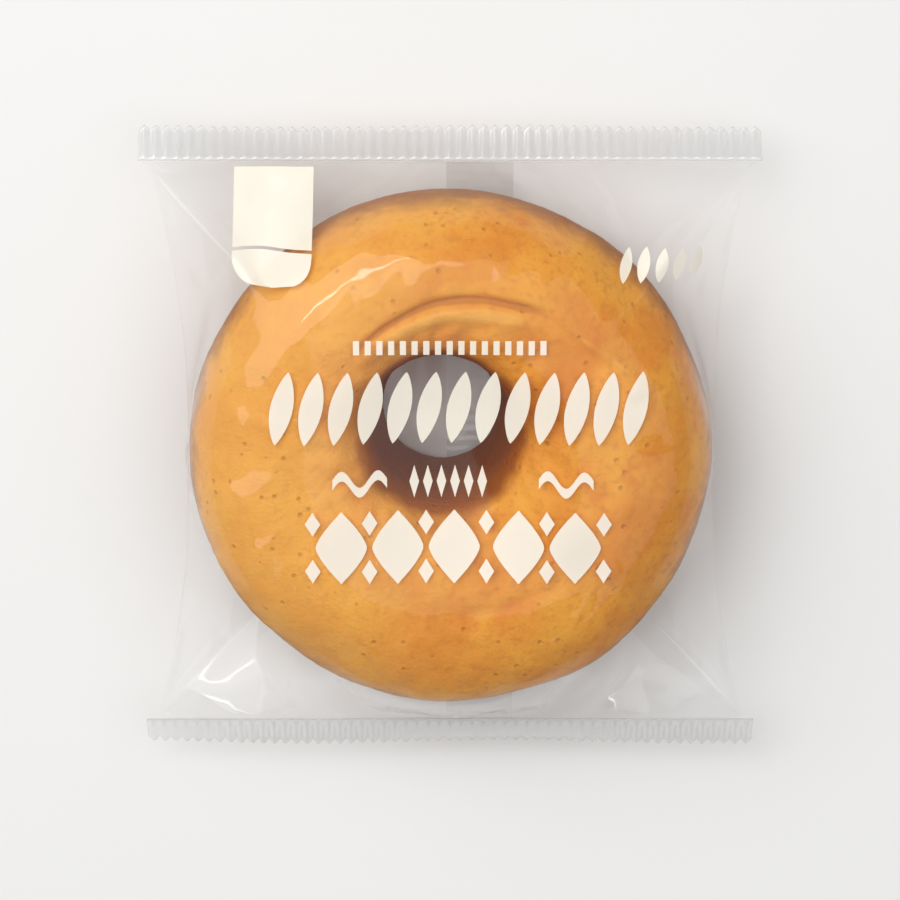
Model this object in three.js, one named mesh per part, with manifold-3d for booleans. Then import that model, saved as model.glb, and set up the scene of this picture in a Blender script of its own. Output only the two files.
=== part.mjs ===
// A baked ring doughnut in its own clear film wrapper, lying flat with the printed side up.
// Millimetres, +Z up. The origin is on the floor, under the middle of the ring, and the
// wrapper's two crimped end seals lie at +Y and -Y.
//
// The clear wrapper is shut tight round the doughnut, so the two are one solid here. Its outer
// form is the film's: over the ring it follows the crust, and beyond the ring it runs straight
// down to the folded sides and the end seals. The doughnut's hole shows through the film, so it
// is open from above, down to the film that closes it underneath.
import * as THREE from 'three';
import { mergeVertices } from 'three/addons/utils/BufferGeometryUtils.js';
import Module from 'manifold-3d';

const wasm = await Module();
wasm.setup();

// The doughnut, measured over its film
const ringRadius = 37.5;
const ringHeight = 27;
const widestLevel = 12;
const footRadius = 30.5;

// Its hole lies a little off the ring's middle. The mouth rolls in to a neck at neckLevel, and
// from there the wall narrows to the foot.
const holeRadius = 11;
const neckRadius = 9.4;
const neckLevel = 14;
const holeFootRadius = 7.8;
const mouthFullness = 3.2;
const holeShift = new THREE.Vector2(-1.5, 4.4);

// The film under the hole: how far it sags up into the hole, and how thick it is in the solid
const footSag = 1.2;
const footSagRadius = 15;
const footFilm = 1;

// The wrapper: the film tube is widest at its end seals and is drawn in at the waist
const sealHalfWidth = 44;
const sealRoot = 41;
const sealLevel = 9.5;
const waistHalfWidth = 37.6;

// Tension folds in the film that spans from the ring to the wrapper's edge
const foldCount = 30;
const foldDepth = 0.45;
const foldFade = 6;

// The crimped seals: ribs run along the wrapper, and the cut edge is a row of teeth
const sealLength = 5.5;
const sealOverlap = 1.2;
const sealThickness = 0.7;
const sealDroop = THREE.MathUtils.degToRad(38);
const ribPitch = 2.4;
const ribHeight = 0.28;
const toothDepth = 0.9;

// How finely the surfaces are divided
const stepsPerSide = 32;
const mouthRings = 6;
const footRings = 4;
const rollRings = 6;
const slopeRings = 3;
const stepsPerRib = 4;

const crestRadius = (ringRadius + holeRadius) / 2;
const crumbColour = '#e3a052';

// The hole in section, as radius and level, from the middle of its floor up to the ring's
// crest. The mouth is a quarter of a superellipse, fuller than an ellipse.
function holeSection() {
  const floor = footSag + footFilm;
  const wall = [];
  for (let step = 0; step <= mouthRings; step += 1) {
    const angle = (Math.PI / 2) * (step / mouthRings);
    const inward = Math.cos(angle) ** (2 / mouthFullness);
    const upward = Math.sin(angle) ** (2 / mouthFullness);
    wall.push([
      THREE.MathUtils.lerp(crestRadius, neckRadius, inward),
      THREE.MathUtils.lerp(neckLevel, ringHeight, upward),
    ]);
  }
  return [[0, floor], [holeFootRadius, floor], ...wall];
}

// The underside in section, level but for the film that sags up into the hole.
function footSection() {
  const section = [];
  for (let ring = 0; ring <= footRings; ring += 1) {
    const radius = (footRadius * ring) / footRings;
    const hollow = Math.max(0, 1 - (radius / footSagRadius) ** 2);
    section.push([radius, footSag * hollow ** 2]);
  }
  return section;
}

// The two faces of the wrapped ring. Each has a middle, given in section, then a quarter
// ellipse that rolls over the ring's shoulder to ringRadius.
const faces = {
  top: {
    up: 1,
    levelRadius: crestRadius,
    depth: ringHeight - widestLevel,
    middle: holeSection(),
  },
  foot: {
    up: -1,
    levelRadius: footRadius,
    depth: widestLevel,
    middle: footSection(),
  },
};

// The wrapper's outline from above: straight at the end seals, drawn in along the sides.
function wrapperOutline() {
  const corner = (x, y) => new THREE.Vector2(x * sealHalfWidth, y * sealRoot);
  const pull = new THREE.Vector2(2 * waistHalfWidth - sealHalfWidth, 0);
  const sides = [
    new THREE.QuadraticBezierCurve(corner(1, -1), pull, corner(1, 1)),
    new THREE.LineCurve(corner(1, 1), corner(-1, 1)),
    new THREE.QuadraticBezierCurve(corner(-1, 1), pull.clone().negate(), corner(-1, -1)),
    new THREE.LineCurve(corner(-1, -1), corner(1, -1)),
  ];
  return sides.flatMap((side) => side.getSpacedPoints(stepsPerSide).slice(1));
}

// Height of the wrapper's edge, where its two faces meet: it drops from the waist to the seals.
function edgeLevel(y) {
  return THREE.MathUtils.lerp(widestLevel, sealLevel, (y / sealRoot) ** 2);
}

// The angle on a quarter ellipse, width by depth, at which a taut film leaves it for a point
// that lies reach out from the ellipse's centre and rise above it.
function leavingAngle(width, depth, reach, rise) {
  const across = reach / width;
  const upward = rise / depth;
  const turn = Math.acos(Math.min(1, 1 / Math.hypot(across, upward)));
  return Math.max(0, Math.atan2(upward, across) + turn);
}

// A point in the middle of a face. The hole's points are moved off the ring's middle, by a
// share that fades out from the hole's mouth to the crest.
function middlePoint(face, bearing, ring) {
  const [radius, level] = face.middle[ring];
  const point = new THREE.Vector3(radius * Math.cos(bearing), radius * Math.sin(bearing), level);
  if (face === faces.top) {
    const share = Math.min(1, (crestRadius - radius) / (crestRadius - holeRadius));
    point.x += holeShift.x * share;
    point.y += holeShift.y * share;
  }
  return point;
}

// A point of the film beyond the middle: the roll over the ring's shoulder, then the taut slope
// down to the wrapper's edge.
function filmPoint(face, edge, ring) {
  const bearing = Math.atan2(edge.y, edge.x);
  const edgeRadius = Math.hypot(edge.x, edge.y);
  const width = ringRadius - face.levelRadius;
  const rise = face.up * (edgeLevel(edge.y) - widestLevel);
  const leaving = leavingAngle(width, face.depth, edgeRadius - face.levelRadius, rise);
  const roll = Math.min(1, ring / rollRings);
  const angle = THREE.MathUtils.lerp(Math.PI / 2, leaving, roll);
  const leavingRadius = face.levelRadius + width * Math.cos(angle);
  const slope = Math.max(0, (ring - rollRings) / slopeRings);
  const span = edgeRadius - leavingRadius;
  const radius = leavingRadius + span * slope;
  const tension = Math.min(1, span / foldFade) ** 2;
  const swell = 4 * slope * (1 - slope);
  const fold = foldDepth * tension * swell * Math.cos(foldCount * bearing);
  const height = THREE.MathUtils.lerp(face.depth * Math.sin(angle), rise, slope) + fold;
  return new THREE.Vector3(
    radius * Math.cos(bearing),
    radius * Math.sin(bearing),
    widestLevel + face.up * height,
  );
}

// A point of a face, ring by ring from its middle out to the wrapper's edge.
function facePoint(face, edge, ring) {
  const lastMiddle = face.middle.length - 1;
  if (ring <= lastMiddle) {
    return middlePoint(face, Math.atan2(edge.y, edge.x), ring);
  }
  return filmPoint(face, edge, ring - lastMiddle);
}

// The wrapped ring, as a sphere whose poles become the middles of the two faces and whose
// equator becomes the wrapper's edge.
function wrappedRing() {
  const edges = wrapperOutline();
  const ringsOf = (face) => face.middle.length - 1 + rollRings + slopeRings;
  const equator = ringsOf(faces.top);
  const lastRow = equator + ringsOf(faces.foot);
  const shape = new THREE.SphereGeometry(1, edges.length, lastRow);
  const place = shape.getAttribute('position');
  for (let i = 0; i < place.count; i += 1) {
    const edge = edges[(i % (edges.length + 1)) % edges.length];
    const row = Math.floor(i / (edges.length + 1));
    const point = row <= equator
      ? facePoint(faces.top, edge, row)
      : facePoint(faces.foot, edge, lastRow - row);
    place.setXYZ(i, ...point);
  }
  return shape;
}

// One crimped end seal: both films welded flat, ribbed, and cut with a toothed edge. Its first
// row of faces is plain and lies inside the film; the ribs grow from there to the cut edge.
function crimpedSeal() {
  const width = 2 * sealHalfWidth;
  const rowsAt = [-sealOverlap, 0, sealLength / 2, sealLength];
  const columns = Math.round(width / ribPitch) * stepsPerRib;
  const strip = new THREE.BoxGeometry(width, 1, sealThickness, columns, rowsAt.length - 1, 1);
  const place = strip.getAttribute('position');
  for (let i = 0; i < place.count; i += 1) {
    const x = place.getX(i);
    const along = rowsAt[Math.round((place.getY(i) + 0.5) * (rowsAt.length - 1))];
    const phase = Math.cos((2 * Math.PI * x) / ribPitch);
    const shown = Math.max(0, along / sealLength);
    const out = along + (toothDepth / 2) * phase * shown;
    const level = place.getZ(i) + ribHeight * phase * shown;
    place.setXYZ(
      i,
      x,
      sealRoot + out * Math.cos(sealDroop) + level * Math.sin(sealDroop),
      sealLevel - out * Math.sin(sealDroop) + level * Math.cos(sealDroop),
    );
  }
  return strip;
}

function toSolid(geometry) {
  const bare = geometry.clone();
  bare.deleteAttribute('normal');
  bare.deleteAttribute('uv');
  const merged = mergeVertices(bare, 1e-4);
  const vertProperties = new Float32Array(merged.getAttribute('position').array);
  const triVerts = new Uint32Array(merged.index.array);
  return new wasm.Manifold(new wasm.Mesh({ numProp: 3, vertProperties, triVerts }));
}

function toGeometry(solid) {
  const mesh = solid.getMesh();
  const geometry = new THREE.BufferGeometry();
  geometry.setAttribute('position', new THREE.BufferAttribute(mesh.vertProperties, 3));
  geometry.setIndex(new THREE.BufferAttribute(mesh.triVerts, 1));
  geometry.computeVertexNormals();
  return geometry;
}

function wrappedDoughnut() {
  const farSeal = crimpedSeal();
  const nearSeal = crimpedSeal().rotateZ(Math.PI);
  const solid = toSolid(wrappedRing()).add(toSolid(farSeal)).add(toSolid(nearSeal));
  const finish = new THREE.MeshStandardMaterial({
    color: crumbColour,
    roughness: 0.35,
    metalness: 0,
  });
  const mesh = new THREE.Mesh(toGeometry(solid), finish);
  mesh.name = 'wrapped_doughnut';
  return mesh;
}

const part = new THREE.Group();
part.add(wrappedDoughnut());
export default part;
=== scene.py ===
# %% [markdown]
# # A baked ring doughnut in its clear film wrapper
#
# The object is a small cake doughnut, golden and finely pored, shut tight in its own bag of
# clear film. The bag is a pillow pack: a tube of film that is sealed along its back and
# crimped flat at both ends. White shapes are printed on its face.
#
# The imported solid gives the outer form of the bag, with the doughnut's hole open from above.
# Here it is replaced by the real pieces: the ring, the film, the two crimped seals, the back
# seam and the printed ink.

import math

import bpy
import numpy as np
from mathutils import Matrix, Vector, noise
from mathutils.bvhtree import BVHTree


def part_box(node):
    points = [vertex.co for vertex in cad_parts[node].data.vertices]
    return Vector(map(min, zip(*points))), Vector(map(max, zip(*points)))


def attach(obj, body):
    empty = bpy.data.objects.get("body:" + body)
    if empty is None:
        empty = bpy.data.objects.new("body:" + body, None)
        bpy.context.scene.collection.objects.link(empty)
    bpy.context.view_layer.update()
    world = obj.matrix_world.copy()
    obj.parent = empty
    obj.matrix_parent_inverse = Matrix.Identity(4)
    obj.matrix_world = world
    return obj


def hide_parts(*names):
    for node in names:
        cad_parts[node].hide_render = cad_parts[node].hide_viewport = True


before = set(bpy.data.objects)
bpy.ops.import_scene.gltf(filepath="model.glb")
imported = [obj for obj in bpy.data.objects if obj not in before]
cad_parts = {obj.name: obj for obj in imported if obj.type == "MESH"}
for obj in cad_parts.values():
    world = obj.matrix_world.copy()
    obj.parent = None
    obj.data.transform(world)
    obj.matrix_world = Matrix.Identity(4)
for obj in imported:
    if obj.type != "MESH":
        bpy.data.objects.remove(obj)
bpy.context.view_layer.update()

# %% [markdown]
# ## Sizes
#
# Everything is in metres, as the frame is. The bag's width, height and waist are read from the
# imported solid, so that the pieces fit it. The levels and radii inside that outline are those
# that the solid was drawn with.

# %% Sizes
MM = 0.001
WRAPPER = "wrapped_doughnut"
WIDEST_LEVEL = 12 * MM
FOOT_RADIUS = 30.5 * MM
HOLE_RADIUS = 11 * MM
HOLE_SHIFT = (-1.5 * MM, 4.4 * MM)
SEAL_ROOT = 41 * MM
SEAL_LEVEL = 9.5 * MM
WAIST_BAND = 3 * MM

box_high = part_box(WRAPPER)[1]
solid_points = np.array([v.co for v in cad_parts[WRAPPER].data.vertices])
near_waist = np.abs(solid_points[:, 1]) < WAIST_BAND
seal_half_width = box_high.x
film_top = box_high.z
film_radius = np.abs(solid_points[near_waist, 0]).max()
crest_radius = (film_radius + HOLE_RADIUS) / 2
print("film radius", round(film_radius / MM, 2), "crest radius", round(crest_radius / MM, 2))

# %% [markdown]
# ## The camera
#
# The photographed doughnuts face the lens, and the lens stands a little beyond their far edge:
# the near wall of the hole shows, and the far wall doesn't. A long lens from half a metre keeps
# the ring as round as it is in the photo.

# %% Camera
def add_object(name, data):
    """Put a camera, a light or a mesh into the scene."""
    thing = bpy.data.objects.new(name, data)
    bpy.context.collection.objects.link(thing)
    return thing


SENSOR_WIDTH = 36  # in mm, as the lens is
CAMERA_LEAN = math.radians(13)
CAMERA_DISTANCE = 620 * MM
FRAMED_HEIGHT = 128 * MM
camera_data = bpy.data.cameras.new("studio_camera")
camera_data.sensor_width = SENSOR_WIDTH
camera_data.lens = SENSOR_WIDTH * CAMERA_DISTANCE / FRAMED_HEIGHT
camera = add_object("studio_camera", camera_data)
aim = Vector((0, 0, film_top / 2))
away = Vector((0, math.sin(CAMERA_LEAN), math.cos(CAMERA_LEAN)))
camera.location = aim + CAMERA_DISTANCE * away
camera.rotation_euler = (-CAMERA_LEAN, 0, 0)
bpy.context.scene.camera = camera
print("lens", round(camera_data.lens), "mm")

# %% [markdown]
# ## Materials, first the tools for them
#
# Colours are picked as the eye sees them, in sRGB hex, and the shader works in linear light,
# so one function turns one into the other. Another adds a node with its settings and links,
# which keeps each material down to a list of what it is made of.

# %% Colour and node helpers
def linear(hex_colour):
    """An sRGB hex colour as linear red, green, blue and alpha."""
    channels = [int(hex_colour[i:i + 2], 16) / 255 for i in (1, 3, 5)]
    light = [c / 12.92 if c <= 0.04045 else ((c + 0.055) / 1.055) ** 2.4 for c in channels]
    return (*light, 1.0)


def add_node(material, kind, inputs=(), **settings):
    """Add a shader node, set its properties, and give its inputs values or links."""
    node = material.node_tree.nodes.new("ShaderNode" + kind)
    for name, value in settings.items():
        setattr(node, name, value)
    for socket, value in dict(inputs).items():
        if isinstance(value, bpy.types.NodeSocket):
            material.node_tree.links.new(value, node.inputs[socket])
        else:
            node.inputs[socket].default_value = value
    return node


def new_material(name):
    """An empty node material and its output node."""
    material = bpy.data.materials.new(name)
    material.use_nodes = True
    material.node_tree.nodes.clear()
    return material, add_node(material, "OutputMaterial")


def per_metre(size_in_mm):
    """The scale of a texture whose features are this many millimetres apart."""
    return 1000 / size_in_mm


# The colour inputs and output of a Mix node, which has a set of them for each data type
MIX_A, MIX_B, MIX_OUT = 6, 7, 2

# %% [markdown]
# ## The studio
#
# A plain pale floor, and soft light from the upper left, as in the photo: the right and lower
# rims of the ring are a little darker and throw a soft shadow. Soft light alone would leave the
# film dull, so a narrow strip of light beside it gives the film its thin bright streaks.

# %% Floor
FLOOR_HALF = 2.5
FLOOR_DROP = 0.05 * MM
floor_mesh = bpy.data.meshes.new("studio_floor")
corners = [(FLOOR_HALF * x, FLOOR_HALF * y, 0) for x, y in ((-1, -1), (1, -1), (1, 1), (-1, 1))]
floor_mesh.from_pydata(corners, [], [(0, 1, 2, 3)])
floor = add_object("studio_floor", floor_mesh)
floor.location.z = -FLOOR_DROP
paper, paper_out = new_material("pale_studio_paper")
paper_shader = add_node(paper, "BsdfPrincipled", {
    "Base Color": linear("#f1f0ee"), "Roughness": 0.8,
})
paper.node_tree.links.new(paper_shader.outputs[0], paper_out.inputs["Surface"])
floor_mesh.materials.append(paper)

# %% Light
def add_area_light(name, place, width, height, power):
    """A light panel that points at the ring, its place and size in metres, its power in watts."""
    data = bpy.data.lights.new(name, "AREA")
    data.shape = "RECTANGLE"
    data.energy = power
    data.size = width
    data.size_y = height
    light = add_object(name, data)
    light.location = place
    light.rotation_euler = (aim - Vector(place)).to_track_quat("-Z", "Y").to_euler()
    return light


add_area_light("key_soft_box", (-0.52, 0.42, 0.8), 1.0, 1.0, 7.4)
add_area_light("top_soft_box", (0.42, 0.15, 1.2), 1.5, 1.5, 6.8)
add_area_light("strip_light", (-0.34, 0.5, 0.8), 0.5, 0.05, 0.9)
world = bpy.data.worlds.new("studio_air")
world.use_nodes = True
world.node_tree.nodes["Background"].inputs["Color"].default_value = linear("#f4f6f8")
world.node_tree.nodes["Background"].inputs["Strength"].default_value = 0.28
bpy.context.scene.world = world
bpy.context.scene.view_settings.view_transform = "Standard"

# %% [markdown]
# ## The ring
#
# The real ring is cake batter baked in a tin: a plump round section with a flat foot, and a
# hole that the tin's post leaves, a little off centre and narrower towards the foot. A torus
# has none of these, so the section is drawn from four rounded quarters, spaced evenly along its
# length, and swept round.

# %% Section of the ring
FILM_GAP = 0.25 * MM
HOLE_NECK = (9.4 * MM, 14 * MM)  # its radius and level
MOUTH_FULLNESS = 3.2
HOLE_FOOT_RADIUS = 7.8 * MM
FOOT_ROLL = 2 * MM
STEPS_QUARTER = 400
STEPS_SECTION = 170
ring_radius = film_radius - FILM_GAP
ring_top = film_top - FILM_GAP
ring_foot = 2 * FILM_GAP


def rounded(middle, half_width, half_height, start, fullness=2.0):
    """A quarter superellipse from an angle in degrees. A fullness of 2 makes an ellipse."""
    angle = np.radians(np.linspace(start, start + 90, STEPS_QUARTER))
    across, up = np.cos(angle), np.sin(angle)
    across = np.sign(across) * np.abs(across) ** (2 / fullness)
    up = np.sign(up) * np.abs(up) ** (2 / fullness)
    return np.column_stack((middle[0] + half_width * across, middle[1] + half_height * up))


def ring_section(steps):
    """The ring's section as evenly spaced points of radius and height, from its outer waist."""
    neck_radius, neck_level = HOLE_NECK
    crest = (ring_radius - crest_radius, ring_top - WIDEST_LEVEL)
    mouth = (crest_radius - neck_radius, ring_top - neck_level)
    foot = (ring_radius - FOOT_RADIUS, WIDEST_LEVEL - ring_foot)
    foot_roll_middle = (HOLE_FOOT_RADIUS + FOOT_ROLL, ring_foot + FOOT_ROLL)
    outline = np.vstack((
        rounded((crest_radius, WIDEST_LEVEL), *crest, 0),
        rounded((crest_radius, neck_level), *mouth, 90, MOUTH_FULLNESS),
        rounded(foot_roll_middle, FOOT_ROLL, FOOT_ROLL, 180),
        rounded((FOOT_RADIUS, WIDEST_LEVEL), *foot, 270),
    ))
    steps_taken = np.linalg.norm(np.diff(outline, axis=0), axis=1)
    walked = np.concatenate(([0], np.cumsum(steps_taken)))
    at = np.linspace(0, walked[-1], steps, endpoint=False)
    return np.column_stack([np.interp(at, walked, outline[:, axis]) for axis in (0, 1)])


section = ring_section(STEPS_SECTION)
print("ring section:", len(section), "points,", round(np.ptp(section[:, 0]) / MM, 2), "mm wide")

# %% Sweep the section round
STEPS_ROUND = 560
turn = np.linspace(0, 2 * np.pi, STEPS_ROUND, endpoint=False)[:, None]


def swept(radius_and_height):
    """A column of radii and heights, turned round the axis in even steps."""
    radius, height = radius_and_height.T
    x, y = np.cos(turn) * radius, np.sin(turn) * radius
    return np.stack((x, y, np.tile(height, (STEPS_ROUND, 1))), -1).reshape(-1, 3)


tangent = np.roll(section, -1, axis=0) - np.roll(section, 1, axis=0)
outward = np.column_stack((tangent[:, 1], -tangent[:, 0]))
outward /= np.linalg.norm(outward, axis=1)[:, None]
smooth_points = swept(section)
ring_normals = swept(outward)
print("smooth ring:", len(smooth_points), "points")

# %% [markdown]
# ## Unevenness of the crust
#
# Batter rises unevenly, folds over itself near the hole and shrinks a little as it bakes. A bump
# texture would leave the outline a perfect curve, so everything down to half a millimetre is
# moved vertices, always inward, as the film lies on the highest places. Only the finest pores
# are left to the material. Noise makes the lumps, and the creases are arcs that follow the photo.

# %% Noise and ramps
def noise_at(points, size, seed):
    """Smooth noise from -1 to 1 with features of this size, at each point."""
    return np.array([noise.noise(Vector(p)) for p in points / size + seed])


def bell(distance, width):
    """1 at no distance, falling smoothly to 0 beyond about two widths."""
    return np.exp(-((distance / width) ** 2))


def fade(value, start, end):
    """A straight ramp, 0 where the value is at start and 1 where it is at end."""
    return np.clip((value - start) / (end - start), 0, 1)


# %% Creases
# Where the batter folded as it rose: the arc's start and end in degrees, its distance from the
# ring's middle at each, and its depth. All lengths in this cell are in mm.
CREASES = [
    (40, 140, 25.6, 16.6, 1.25), (18, 60, 29.0, 24.0, -0.4), (196, 262, 17.0, 18.4, 0.35),
    (262, 322, 22.5, 25.0, 0.35),
]
CREASE_WANDER = 1.1
WANDER_SIZE = 8
WANDER_SEED = 12.0
ARC_END = 0.25  # share of the arc over which a crease fades out at either end
GROOVE_WIDTH = 0.75
ROLL_BESIDE = 2.2
ROLL_WIDTH = 1.7
ROLL_SHARE = 0.45


def crease_depths(points, radius, bearing, above):
    """How deep each point lies in a crease, below zero on the roll of batter beside one."""
    wander = CREASE_WANDER * noise_at(points, WANDER_SIZE * MM, WANDER_SEED)
    depths = np.zeros(len(points))
    for start, end, first_radius, last_radius, depth in CREASES:
        along = fade(bearing, start, end)
        inside_arc = fade(np.minimum(along, 1 - along), 0, ARC_END)
        off = radius - first_radius - along * (last_radius - first_radius) - wander
        groove = bell(off, GROOVE_WIDTH) - ROLL_SHARE * bell(off + ROLL_BESIDE, ROLL_WIDTH)
        depths += inside_arc * above * depth * groove
    return depths


# %% Relief of the crust
# Lumps: the size and seed of their noise, their height all over, and what the crest adds to it.
# The rim of the hole is puckered besides. All lengths in this cell are in mm.
LUMPS = [
    (16, 3.1, 0.75, 0.0), (7, 8.4, 0.0, 0.42), (2.6, 1.7, 0.068, 0.102), (1, 5.2, 0.07, 0.0),
]
SHRINKAGE = 0.45
MOST_RELIEF = 0.1
RIM_RADIUS = 15.5
RIM_WIDTH = 3.2
RIM_PUCKERS = 23
PUCKER_HEIGHT = 0.16
PUCKER_SIZE = 7
PUCKER_SEED = 20.0
PUCKER_UNREST = 4


def crust_relief(points, upward):
    """How far each point stands off the smooth ring, and how deep it lies in a crease."""
    radius = np.hypot(points[:, 0], points[:, 1]) / MM
    bearing = np.degrees(np.arctan2(points[:, 1], points[:, 0])) % 360
    above = np.clip(upward, 0, 1)
    relief = np.full(len(points), -SHRINKAGE)
    for size, seed, all_over, on_crest in LUMPS:
        relief += (all_over + on_crest * above) * noise_at(points, size * MM, seed)
    crease = crease_depths(points, radius, bearing, above)
    rim = bell(radius - RIM_RADIUS, RIM_WIDTH) * above
    unrest = PUCKER_UNREST * noise_at(points, PUCKER_SIZE * MM, PUCKER_SEED)
    puckers = np.sin(RIM_PUCKERS * np.radians(bearing) + unrest)
    relief += PUCKER_HEIGHT * rim * puckers - crease
    return np.minimum(relief, MOST_RELIEF), crease


relief, crease = crust_relief(smooth_points, ring_normals[:, 2])
print("crust relief from", round(relief.min(), 2), "to", round(relief.max(), 2), "mm")

# %% Ring mesh
def closed_grid(columns, rows):
    """Quads of a grid that closes on itself both ways."""
    i, j = np.meshgrid(np.arange(columns), np.arange(rows), indexing="ij")
    after_i, after_j = (i + 1) % columns, (j + 1) % rows
    quads = (i * rows + j, after_i * rows + j, after_i * rows + after_j, i * rows + after_j)
    return np.stack(quads, -1).reshape(-1, 4)


def mesh_of(name, points, faces):
    """A smoothly shaded mesh."""
    mesh = bpy.data.meshes.new(name)
    mesh.from_pydata(np.asarray(points).tolist(), [], np.asarray(faces).tolist())
    mesh.shade_smooth()
    return mesh


from_axis = np.hypot(smooth_points[:, 0], smooth_points[:, 1])
towards_hole = fade(from_axis, ring_radius, HOLE_RADIUS)[:, None]
ring_points = smooth_points + ring_normals * relief[:, None] * MM
ring_points[:, :2] += towards_hole * np.array(HOLE_SHIFT)
ring_points[:, 2] = np.maximum(ring_points[:, 2], ring_foot)
ring_mesh = mesh_of("baked_doughnut", ring_points, closed_grid(STEPS_ROUND, STEPS_SECTION))
doughnut = add_object("baked_doughnut", ring_mesh)
print("ring faces:", len(ring_mesh.polygons))

# %% [markdown]
# ## Baked cake crust
#
# A thin golden skin over pale crumb. Seen close it isn't one brown: patches of a few
# millimetres are paler or deeper, the flank is browner lower down where it browned against the
# tin, and fine pores roughen the surface. Light and shade are painted into the colour as well:
# the left side, where the light falls, is painted paler; the creases are painted dark and the
# rolls beside them pale; the wall of the hole and the low flank carry painted shade; the pores
# are painted darker. It is dry with a little oil, so the gloss is broad and weak, and light goes
# about a millimetre in. The patches are noise, and the painted parts and the creases are stored
# with the mesh.

# %% Parts of the crust with painted light and shade, and browning
ring_parts = {
    # Depth of the creases: the colour paints shade in them and a highlight on the rolls beside
    # them
    "crease_depth": crease,
    # Painted shade on the wall of the hole
    "hole_wall_painted_shade": fade(from_axis, 12.5 * MM, 9.5 * MM),
    # Darker lower down the flank: partly browning against the tin, partly painted shade
    "low_down_browning_and_shade": fade(smooth_points[:, 2], 20.5 * MM, 8.5 * MM),
    # The left side, where the light falls, painted paler: painted light
    "painted_lit_side": fade(smooth_points[:, 0], 12 * MM, -34 * MM),
}
for name, values in ring_parts.items():
    attribute = ring_mesh.attributes.new(name, "FLOAT", "POINT")
    attribute.data.foreach_set("value", values.astype(np.float32))
print("stored with the ring:", ", ".join(ring_parts))

# %% Where each colour of the crust lies
# Patches: the size in mm and detail of their noise, the noise at which they fade in and are
# full, their share of the colour there, and the colour.
PATCHES = [
    (11, 3.0, 0.32, 0.68, 1.0, "#eda537"), (4.5, 2.0, 0.54, 0.76, 0.45, "#da7622"),
    (1.1, 2.0, 0.5, 0.7, 0.3, "#c16c22"),
]
# Parts: their name, the value at which they fade in and are full, their share of the colour
# there, and the colour. The lit side is painted paler, the rolls beside the creases painted
# light, the creases and the hole's wall painted shade, and the low flank is partly browning
# and partly painted shade.
PARTS = [
    ("painted_lit_side", 0.0, 1.0, 0.52, "#f4b75c"), ("crease_depth", -0.12, -0.45, 0.45, "#f4bb5a"),
    ("crease_depth", 0.2, 0.9, 0.6, "#b06423"), ("low_down_browning_and_shade", 0.1, 0.7, 0.85, "#925626"),
    ("hole_wall_painted_shade", 0.15, 0.85, 0.88, "#9d4e12"),
]
crust, crust_out = new_material("baked_cake_crust")
place = add_node(crust, "TexCoord").outputs["Object"]
ragged_noise = add_node(crust, "TexNoise", {
    "Vector": place, "Scale": per_metre(3.5), "Detail": 2.0, "Roughness": 0.55,
})
ragged_edge = add_node(crust, "MapRange", {
    "Value": ragged_noise.outputs["Fac"],
    "From Min": 0.35, "From Max": 0.65, "To Min": 0.0, "To Max": 0.16,
}, interpolation_type="SMOOTHSTEP")
layers = []
for size, detail, low, high, share, hex_colour in PATCHES:
    patch = add_node(crust, "TexNoise", {
        "Vector": place, "Scale": per_metre(size), "Detail": detail, "Roughness": 0.55,
    })
    layers.append((patch.outputs["Fac"], low, high, share, hex_colour))
for part_name, low, high, share, hex_colour in PARTS:
    part = add_node(crust, "Attribute", attribute_name=part_name, attribute_type="GEOMETRY")
    ragged = add_node(crust, "Math", {
        0: ragged_edge.outputs[0], 1: part.outputs["Fac"],
    }, operation="ADD")
    layers.append((ragged.outputs[0], low, high, share, hex_colour))

# %% Colours of the crust, one over the other
colour = linear("#e08b26")
for value, low, high, share, hex_colour in layers:
    cover = add_node(crust, "MapRange", {
        "Value": value, "From Min": low, "From Max": high, "To Min": 0.0, "To Max": share,
    }, interpolation_type="SMOOTHSTEP")
    mix = add_node(crust, "Mix", {
        0: cover.outputs[0], MIX_A: colour, MIX_B: linear(hex_colour),
    }, data_type="RGBA")
    colour = mix.outputs[MIX_OUT]
print("colours of the crust:", 1 + len(layers))

# %% Pores and grain of the crust
cells = add_node(crust, "TexVoronoi", {"Vector": place, "Scale": per_metre(1.9)})
near_middle = add_node(crust, "MapRange", {
    "Value": cells.outputs["Distance"],
    "From Min": 0.08, "From Max": 0.24, "To Min": 1.0, "To Max": 0.0,
}, interpolation_type="SMOOTHSTEP")
some_cells = add_node(crust, "Math", {
    0: cells.outputs["Color"], 1: 0.6,
}, operation="GREATER_THAN")
pores = add_node(crust, "Math", {
    0: near_middle.outputs[0], 1: some_cells.outputs[0],
}, operation="MULTIPLY")
# The pores are also darkened in colour: painted shade in the pits
pore_painted_shade = add_node(crust, "Math", {0: pores.outputs[0], 1: 0.32}, operation="MULTIPLY")
pored = add_node(crust, "Mix", {
    0: pore_painted_shade.outputs[0], MIX_A: colour, MIX_B: linear("#a5561c"),
}, data_type="RGBA")
grain = add_node(crust, "TexNoise", {
    "Vector": place, "Scale": per_metre(0.6), "Detail": 3.0, "Roughness": 0.65,
})
skin_height = add_node(crust, "Math", {
    0: pores.outputs[0], 1: -0.9, 2: grain.outputs["Fac"],
}, operation="MULTIPLY_ADD")
skin = add_node(crust, "Bump", {
    "Height": skin_height.outputs[0], "Strength": 0.8, "Distance": 0.22 * MM,
})

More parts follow.
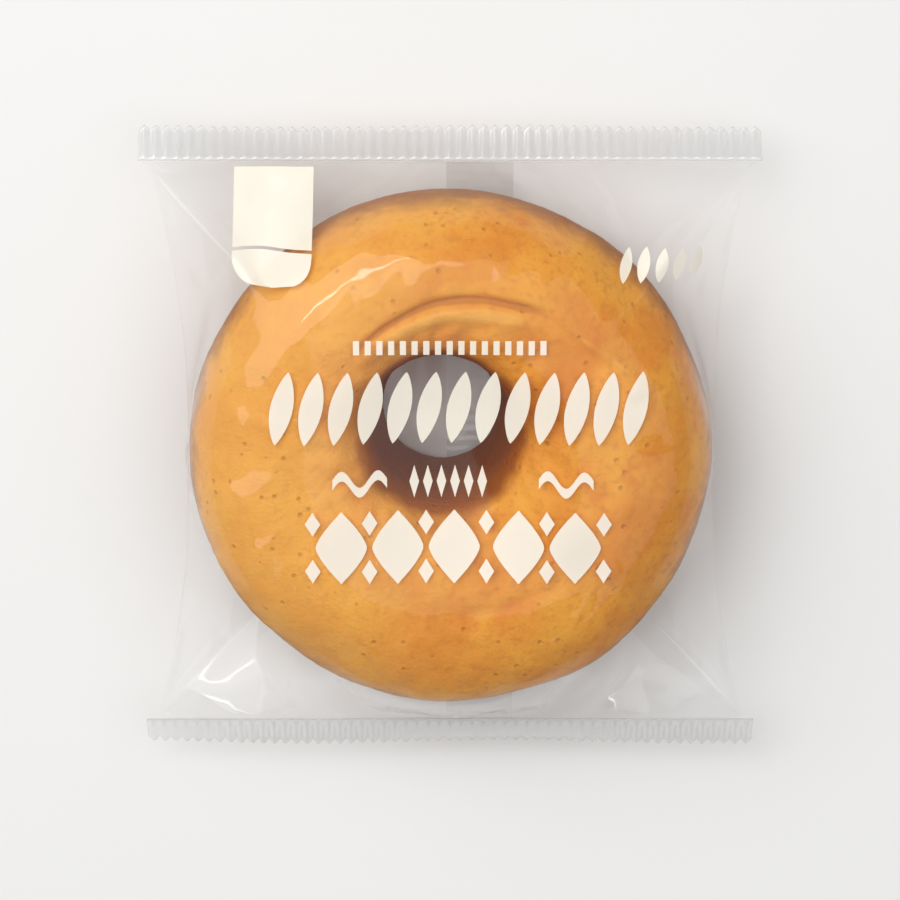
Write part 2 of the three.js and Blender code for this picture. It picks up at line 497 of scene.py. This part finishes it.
# %% Finish the crust
crust_shader = add_node(crust, "BsdfPrincipled", {
    "Base Color": pored.outputs[MIX_OUT],
    "Roughness": 0.6,
    "Specular IOR Level": 0.3,
    "Subsurface Weight": 0.12,
    "Subsurface Radius": (1.0, 0.45, 0.2),
    "Subsurface Scale": 1.2 * MM,
    "Normal": skin.outputs["Normal"],
})
crust.node_tree.links.new(crust_shader.outputs[0], crust_out.inputs["Surface"])
ring_mesh.materials.append(crust)
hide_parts(WRAPPER)
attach(doughnut, "root")

# %% [markdown]
# ## The film bag
#
# The bag starts as a flat tube of film, flattened between its two end seals. With the ring
# inside, the film rolls over the crest, leaves the shoulder at a tangent and runs straight to
# the bag's edge. That taut form has a formula. A square grid wrapped round the ring, with no
# pole in the middle, gives the cloth of the next step faces of even size.

# %% Edge of the bag
TINY = 1e-9  # stands in for a length or share of nothing


def bag_edge(a, b):
    """The bag's edge in the direction of grid place (a, b), each from -1 to 1."""
    share = np.maximum(np.maximum(np.abs(a), np.abs(b)), TINY)
    on_side = np.abs(a) >= np.abs(b)
    along = np.where(on_side, b, a) / share
    side_x = film_radius + (seal_half_width - film_radius) * along ** 2
    edge_x = np.where(on_side, np.where(a < 0, -side_x, side_x), seal_half_width * along)
    edge_y = np.where(on_side, SEAL_ROOT * along, np.sign(b) * SEAL_ROOT)
    return edge_x, edge_y, share


# %% Taut form of the film
TOP_SAG = 2.2 * MM
FOOT_SAG = 0.6 * MM
FOOT_SAG_RADIUS = 15 * MM


def leaving_angle(across, upward):
    """Where a taut film leaves a round shoulder of radius 1 for a point across and upward."""
    tangent_turn = np.arccos(np.minimum(1, 1 / np.hypot(across, upward)))
    return np.maximum(np.arctan2(upward, across) + tangent_turn, 0)


def taut_film(a, b, up):
    """Points of the film drawn tight over the ring, evenly spaced from the middle outward."""
    edge_x, edge_y, share = bag_edge(a, b)
    bearing = np.arctan2(edge_y, edge_x)
    reach = np.hypot(edge_x, edge_y)
    level_radius = crest_radius if up > 0 else FOOT_RADIUS
    depth = film_top - WIDEST_LEVEL if up > 0 else WIDEST_LEVEL - FILM_GAP
    width = film_radius - level_radius
    edge_level = WIDEST_LEVEL + (SEAL_LEVEL - WIDEST_LEVEL) * (edge_y / SEAL_ROOT) ** 2
    rise = up * (edge_level - WIDEST_LEVEL)
    leaving = leaving_angle((reach - level_radius) / width, rise / depth)
    rolled = (np.pi / 2 - leaving) * (width + depth) / 2
    end_radius = level_radius + width * np.cos(leaving)
    end_height = depth * np.sin(leaving)
    sloped = np.hypot(reach - end_radius, rise - end_height) + TINY
    walked = share * (level_radius + rolled + sloped)
    roll = np.clip((walked - level_radius) / rolled, 0, 1)
    slope = np.clip((walked - level_radius - rolled) / sloped, 0, 1)
    angle = np.pi / 2 - roll * (np.pi / 2 - leaving)
    rolled_radius = np.minimum(walked, level_radius) + width * np.cos(angle)
    radius = rolled_radius + slope * (reach - end_radius)
    height = depth * np.sin(angle) + slope * (rise - end_height)
    sag, sag_radius = (TOP_SAG, crest_radius) if up > 0 else (FOOT_SAG, FOOT_SAG_RADIUS)
    height -= sag * np.clip(1 - (radius / sag_radius) ** 2, 0, 1) ** 2
    x, y = radius * np.cos(bearing), radius * np.sin(bearing)
    return np.stack((x, y, WIDEST_LEVEL + up * height), -1)


# %% Mesh of the bag
FILM_STEPS = 96


def bag_mesh(name, steps):
    """Both sheets of the bag as one closed mesh, joined along the bag's edge."""
    across = np.linspace(-1, 1, steps + 1)
    a, b = (g.ravel() for g in np.meshgrid(across, across, indexing="ij"))
    inner = np.maximum(np.abs(a), np.abs(b)) < 1 - TINY
    points = np.vstack((taut_film(a, b, 1), taut_film(a[inner], b[inner], -1)))
    top = np.arange(len(a)).reshape(steps + 1, steps + 1)
    foot = top.copy()
    foot.ravel()[inner] = len(a) + np.arange(inner.sum())
    quads = []
    for sheet, order in ((top, (0, 1, 2, 3)), (foot, (3, 2, 1, 0))):
        squares = np.stack((sheet[:-1, :-1], sheet[1:, :-1], sheet[1:, 1:], sheet[:-1, 1:]), -1)
        quads.append(squares.reshape(-1, 4)[:, order])
    return mesh_of(name, points, np.vstack(quads))


film_mesh = bag_mesh("film_bag", FILM_STEPS)
film = add_object("film_bag", film_mesh)
print("film faces:", len(film_mesh.polygons))

# %% [markdown]
# ## Crumples in the film
#
# A real bag is a little too long for its taut way round the ring, and the rest crumples towards
# the corners. Drawn wrinkles look like waves, so they come from a cloth simulation: the film
# grows by a few per cent between its seals while the ring holds it out. Afterwards the swelling
# is capped, so that the bag keeps the solid's form. Cloth is tuned for pieces of a metre or
# two, so the film is simulated larger and shrunk again.

# %% Where the film is held
WELDED_EDGE = 0.1 * MM
UNDER_FOOT = 0.8 * MM
SLACK_BEYOND = 36 * MM
TIGHT_WITHIN = 26 * MM
TIGHT_BY_SEAL = 7 * MM


def film_grip(points):
    """Where the film is held still, and where it stays tight, each from 0 to 1."""
    from_axis = np.hypot(points[:, 0], points[:, 1])
    from_middle = np.abs(points[:, 1])
    at_seal = from_middle > SEAL_ROOT - WELDED_EDGE
    under_foot = (points[:, 2] < UNDER_FOOT) & (from_axis < FOOT_RADIUS)
    over_ring = fade(from_axis, SLACK_BEYOND, TIGHT_WITHIN)
    by_seal = fade(from_middle, SEAL_ROOT - TIGHT_BY_SEAL, SEAL_ROOT)
    return {"held": (at_seal | under_foot).astype(float), "tight": np.maximum(over_ring, by_seal)}


# %% Film as cloth
SIM_SCALE = 20
FRAMES = 24
CLOTH_GAP = 0.002  # at the larger scale
CORE_FRICTION = 4
CLOTH = {
    "quality": 6, "mass": 0.1, "air_damping": 2,
    "tension_stiffness": 40, "compression_stiffness": 40,
    "shear_stiffness": 20, "bending_stiffness": 0.6,
    "vertex_group_mass": "held", "vertex_group_shrink": "tight",
    "shrink_min": -0.035, "shrink_max": 0,
}


def settled_points(film, core):
    """Run the film as cloth round the core, and return where its points come to rest."""
    core.modifiers.new("Collision", "COLLISION")
    core.collision.thickness_outer = CLOTH_GAP
    core.collision.cloth_friction = CORE_FRICTION
    cloth = film.modifiers.new("Cloth", "CLOTH")
    for name, value in CLOTH.items():
        setattr(cloth.settings, name, value)
    cloth.settings.effector_weights.gravity = 0
    cloth.collision_settings.distance_min = CLOTH_GAP
    cloth.collision_settings.use_self_collision = False
    for number in range(1, FRAMES + 1):
        bpy.context.scene.frame_set(number)
    settled = film.evaluated_get(bpy.context.evaluated_depsgraph_get()).to_mesh()
    points = np.array([v.co for v in settled.vertices])
    film.to_mesh_clear()
    film.modifiers.remove(cloth)
    return points


# %% Crumple the film
MOST_SWELL = 0.7 * MM
STILL_WITHIN = 9 * MM
FREE_BEYOND = 23 * MM
LOWEST_FILM = 0.1 * MM


def crumple(film, solid):
    """Let the film grow between its seals while the solid holds it out, and keep the result."""
    core = add_object("core_for_cloth", solid.data.copy())
    core.data.transform(Matrix.Scale(SIM_SCALE, 4))
    film.data.transform(Matrix.Scale(SIM_SCALE, 4))
    taut = np.array([v.co for v in film.data.vertices]) / SIM_SCALE
    for name, weights in film_grip(taut).items():
        group = film.vertex_groups.new(name=name)
        for index in np.flatnonzero(weights):
            group.add([int(index)], float(weights[index]), "REPLACE")
    shift = settled_points(film, core) / SIM_SCALE - taut
    film.vertex_groups.clear()
    bpy.data.objects.remove(core)
    bpy.context.scene.frame_set(1)
    outward = np.array([v.normal for v in film.data.vertices])
    swell = np.maximum((shift * outward).sum(axis=1), 0)
    shift -= outward * (swell - MOST_SWELL * np.tanh(swell / MOST_SWELL))[:, None]
    shift *= fade(np.hypot(taut[:, 0], taut[:, 1]), STILL_WITHIN, FREE_BEYOND)[:, None]
    points = taut + shift
    points[:, 2] = np.maximum(points[:, 2], LOWEST_FILM)
    film.data.vertices.foreach_set("co", points.ravel())
    film.data.update()
    print("film moved at most", round(np.linalg.norm(shift, axis=1).max() / MM, 2), "mm")


crumple(film, doughnut)
film.modifiers.new("Subdivision", "SUBSURF").levels = 1
film.modifiers["Subdivision"].render_levels = 1

# %% [markdown]
# ## Clear film
#
# The bag is clear polypropylene, drawn thin and smooth: colourless, a strong mirror where it is
# seen from the side and a weak one where it faces the eye, with a trace of haze. The glossy
# share follows the viewing angle by a steep power, and the rest lets the light straight
# through, as a film this thin doesn't bend it. Where two films are welded the ribs of the jaws
# scatter the light, so the seals take the same material with more haze and a duller gloss.

# %% Film materials
def film_material(name, facing_mirror, side_mirror, roughness, haze, tint):
    """Clear film. The mirror shares are those seen face on and what the side view adds."""
    film, film_out = new_material(name)
    facing = add_node(film, "LayerWeight", {"Blend": 0.5}).outputs["Facing"]
    steep = add_node(film, "Math", {0: facing, 1: 4.0}, operation="POWER")
    mirror = add_node(film, "Math", {
        0: steep.outputs[0], 1: side_mirror, 2: facing_mirror,
    }, operation="MULTIPLY_ADD")
    gloss = add_node(film, "BsdfGlossy", {"Color": linear("#ffffff"), "Roughness": roughness})
    milk = add_node(film, "BsdfDiffuse", {"Color": linear("#fafafa")})
    clear = add_node(film, "BsdfTransparent", {"Color": linear(tint)})
    hazed = add_node(film, "MixShader", {0: haze, 1: clear.outputs[0], 2: milk.outputs[0]})
    shader = add_node(film, "MixShader", {
        0: mirror.outputs[0], 1: hazed.outputs[0], 2: gloss.outputs[0],
    })
    film.node_tree.links.new(shader.outputs[0], film_out.inputs["Surface"])
    return film


clear_film = film_material("clear_polypropylene_film", 0.027, 0.85, 0.06, 0.006, "#ffffff")
welded_film = film_material("welded_polypropylene_film", 0.08, 0.8, 0.2, 0.11, "#fbfbfb")
film_mesh.materials.append(clear_film)
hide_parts(WRAPPER)
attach(film, "root")

# %% [markdown]
# ## Crimped end seals
#
# At each end the two sheets are pressed flat between hot ribbed jaws and cut with a toothed
# knife. The ribs run along the bag and stiffen the strip, so it stays straight and droops a
# little as one piece. It is a fine grid whose height follows a cosine of the rib pitch, given
# the thickness of two films.

# %% End seals
SEAL_LENGTH = 5.5 * MM
SEAL_DROOP = math.radians(38)
SEAL_THICKNESS = 0.12 * MM
RIB_PITCH = 1.6 * MM
RIB_HEIGHT = 0.16 * MM
TOOTH_DEPTH = 0.7 * MM
WAVE_HEIGHT = 0.35 * MM
WAVE_SPAN = 9 * MM
WAVE_TURN = 0.7
RIB_FADE = 0.25  # share of the seal's length over which the ribs rise from its root
STEPS_PER_RIB = 8
SEAL_ROWS = 10


def open_grid(columns, rows):
    """Quads of a grid of points, columns by rows."""
    i, j = np.meshgrid(np.arange(columns - 1), np.arange(rows - 1), indexing="ij")
    corner = i * rows + j
    return np.stack((corner, corner + rows, corner + rows + 1, corner + 1), -1).reshape(-1, 4)


def crimped_seal(name, end):
    """The seal at +Y (end 1) or -Y (end -1), with teeth at its cut edge alone."""
    ribs = round(2 * seal_half_width / RIB_PITCH)
    x = np.linspace(-seal_half_width, seal_half_width, ribs * STEPS_PER_RIB + 1)[:, None]
    share = np.linspace(0, 1, SEAL_ROWS)[None, :]
    phase = (x / RIB_PITCH) % 1
    tooth = 1 - np.abs(2 * phase - 1)
    out = share * (SEAL_LENGTH - TOOTH_DEPTH * tooth * share ** 6)
    rib = RIB_HEIGHT * np.cos(2 * np.pi * phase) * fade(share, 0, RIB_FADE)
    lift = rib + WAVE_HEIGHT * np.sin(x / WAVE_SPAN + WAVE_TURN * end) * share ** 2
    y = SEAL_ROOT + out * math.cos(SEAL_DROOP) + lift * math.sin(SEAL_DROOP)
    z = SEAL_LEVEL - out * math.sin(SEAL_DROOP) + lift * math.cos(SEAL_DROOP)
    points = np.stack((x + 0 * out, y, z), -1).reshape(-1, 3) * (end, end, 1)
    seal = add_object(name, mesh_of(name, points, open_grid(x.size, SEAL_ROWS)))
    thick = seal.modifiers.new("Thickness", "SOLIDIFY")
    thick.thickness = SEAL_THICKNESS
    thick.offset = 0
    return seal


seals = [crimped_seal("end_seal_far", 1), crimped_seal("end_seal_near", -1)]
print("faces of a seal:", len(seals[0].data.polygons))

# %% [markdown]
# ## Back seam
#
# The film is folded into a tube and welded along its back. The weld is a narrow ribbed strip
# that stands off the tube and is pressed over to one side, under the ring. It has to follow the
# crumpled film, so each of its points is found by a ray that meets the film from below.

# %% Find the film's surface
def surface_of(piece):
    """A search tree of the piece's final surface, for dropping points onto it."""
    return BVHTree.FromObject(piece, bpy.context.evaluated_depsgraph_get())


film_surface = surface_of(film)


def meet_film(x, y, upward):
    """The film's point and normal met going up (1) or down (-1), or the nearest at its edge."""
    start = Vector((x, y, film_top / 2 - upward * film_top))
    point, normal, _, _ = film_surface.ray_cast(start, Vector((0, 0, upward)))
    if point is None:
        point, normal, _, _ = film_surface.find_nearest(Vector((x, y, SEAL_LEVEL)))
    return point, normal


# %% Back seam mesh
SEAM_WIDTH = 9 * MM
SEAM_OVERLAP = 0.5 * MM
SEAM_RIB_PITCH = 1.5 * MM
SEAM_RIB_HEIGHT = 0.05 * MM
SEAM_CLEARANCE = 0.12 * MM
LOWEST_SEAM = 0.02 * MM
SEAM_REACH = 0.995  # share of the way to the seals
SEAM_COLUMNS = 20
STEPS_PER_SEAM_RIB = 6

seam_rows = round(2 * SEAL_ROOT / SEAM_RIB_PITCH) * STEPS_PER_SEAM_RIB
seam_points = []
for x in np.linspace(-SEAM_OVERLAP, SEAM_WIDTH, SEAM_COLUMNS):
    for y in np.linspace(-SEAL_ROOT, SEAL_ROOT, seam_rows) * SEAM_REACH:
        level = meet_film(x, y, 1)[0].z
        rib = SEAM_RIB_HEIGHT * math.cos(2 * math.pi * y / SEAM_RIB_PITCH)
        seam_points.append((x, y, max(level - SEAM_CLEARANCE + rib, LOWEST_SEAM)))
seam_mesh = mesh_of("back_seam", seam_points, open_grid(SEAM_COLUMNS, seam_rows))
seam = add_object("back_seam", seam_mesh)
for strip in (*seals, seam):
    strip.data.materials.append(welded_film)
    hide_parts(WRAPPER)
    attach(strip, "root")
print("back seam points:", len(seam_points))

# %% [markdown]
# ## White print
#
# The face of the film carries thin white ink. Each mark is a small grid of points drawn flat,
# then dropped straight down onto the film, so it bends over the crest and into the folds with
# it. The marks are plain shapes: a tab with a fine line across it, dashes, leaves, waves and
# diamonds.

# %% Shapes of the print
PRINT_STEP = 0.45
SHARPEST = 0.02  # share of a mark's width at its points, so that its faces keep an area


def grid_over(width, height):
    """Places from 0 to 1 across and up a mark, about one print step apart."""
    u = np.linspace(0, 1, max(2, round(width / PRINT_STEP) + 1))
    v = np.linspace(0, 1, max(2, round(height / PRINT_STEP) + 1))
    return np.meshgrid(u, v, indexing="ij")


def solid_mark(middle_x, middle_y, width, height, slant=0.0, width_at=np.ones_like):
    """A filled mark, in mm. width_at gives its share of the width at each height, 0 to 1."""
    u, v = grid_over(width, height)
    share = np.maximum(width_at(v), SHARPEST)
    x = middle_x + (u - 0.5) * width * share + slant * (v - 0.5)
    return x, middle_y + (v - 0.5) * height


def wave(left, middle, width, swing, thickness, waves):
    """A wavy line, in mm, that starts at left."""
    u, v = grid_over(2 * width, thickness)
    y = middle + swing / 2 * np.sin(2 * np.pi * waves * u) + (v - 0.5) * thickness
    return left + u * width, y


# %% Outlines of the filled marks
PLUMPNESS = 1.4
LEAF_ROUNDNESS = 0.75
FOOT_FULLNESS = 2.6


def diamond(v):
    """Widest halfway up, with straight sides."""
    return 1 - np.abs(2 * v - 1)


def plump_diamond(v):
    """A diamond whose sides bulge."""
    return 1 - np.abs(2 * v - 1) ** PLUMPNESS


def leaf(v):
    """Widest halfway up, with round sides and pointed ends."""
    return np.sin(np.pi * v) ** LEAF_ROUNDNESS


def round_foot(v):
    """Full width at the top, closing to a round foot."""
    return (1 - (1 - v) ** FOOT_FULLNESS) ** (1 / FOOT_FULLNESS)


# %% Marks of the print, in millimetres from the ring's middle
tab = [
    solid_mark(-24.8, 35.2, 11.2, 10.0),
    solid_mark(-24.8, 27.5, 11.2, 4.6, width_at=round_foot),
]
dashes = [solid_mark(-13.0 + 1.62 * n, 17.6, 0.85, 2.0) for n in range(17)]
leaves = [solid_mark(-23.4 + 4.1 * n, 8.9, 3.2, 10.4, 2.0, leaf) for n in range(13)]
waves = [wave(left, -2.0, 7.6, 2.4, 1.4, 1.5) for left in (-16.4, 12.4)]
diamonds = [solid_mark(-5.0 + 1.9 * n, -1.8, 1.35, 4.6, width_at=diamond) for n in range(6)]
small_leaves = [solid_mark(24.5 + 2.5 * n, 27.9, 1.7, 4.4, 1.0, leaf) for n in range(5)]
plump_row = [
    solid_mark(x, -11.0, 7.2, 10.2, width_at=plump_diamond)
    for x in (-15.2, -7.3, 0.6, 9.6, 17.5)
]
between_plump = [
    solid_mark(x, y, 2.2, 3.4, width_at=diamond)
    for x in (-19.2, -11.25, -3.35, 5.1, 13.55, 21.5) for y in (-7.6, -14.4)
]
marks = tab + waves + dashes + leaves + diamonds + small_leaves + plump_row + between_plump
print("print marks:", len(marks))

# %% Drop the print onto the film
INK_LIFT = 0.06 * MM
ink_points, ink_faces = [], []
for mark_x, mark_y in marks:
    first = len(ink_points)
    for x, y in zip(mark_x.ravel() * MM, mark_y.ravel() * MM):
        point, normal = meet_film(x, y, -1)
        ink_points.append(tuple(point + INK_LIFT * normal))
    ink_faces += (open_grid(*mark_x.shape) + first).tolist()
ink = add_object("white_print", mesh_of("white_print", ink_points, ink_faces))
print("print faces:", len(ink_faces))

# %% [markdown]
# ## Printing ink
#
# One thin pass of white ink on film, warm white and a little glossy. It doesn't quite cover: a
# sixth of what lies under it shows through, so a part of the shader is plain transparent.

# %% Ink material
white_ink, ink_out = new_material("white_printing_ink")
ink_shader = add_node(white_ink, "BsdfPrincipled", {
    "Base Color": linear("#fff7e6"), "Roughness": 0.3,
})
ink_clear = add_node(white_ink, "BsdfTransparent", {"Color": linear("#ffffff")})
ink_mix = add_node(white_ink, "MixShader", {
    0: 0.16, 1: ink_shader.outputs[0], 2: ink_clear.outputs[0],
})
white_ink.node_tree.links.new(ink_mix.outputs[0], ink_out.inputs["Surface"])
ink.data.materials.append(white_ink)
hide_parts(WRAPPER)
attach(ink, "root")

# %% [markdown]
# ## Finish
#
# Last, the view layer is brought up to date, so that every piece's place is current.

# %% Finish
bpy.context.view_layer.update()
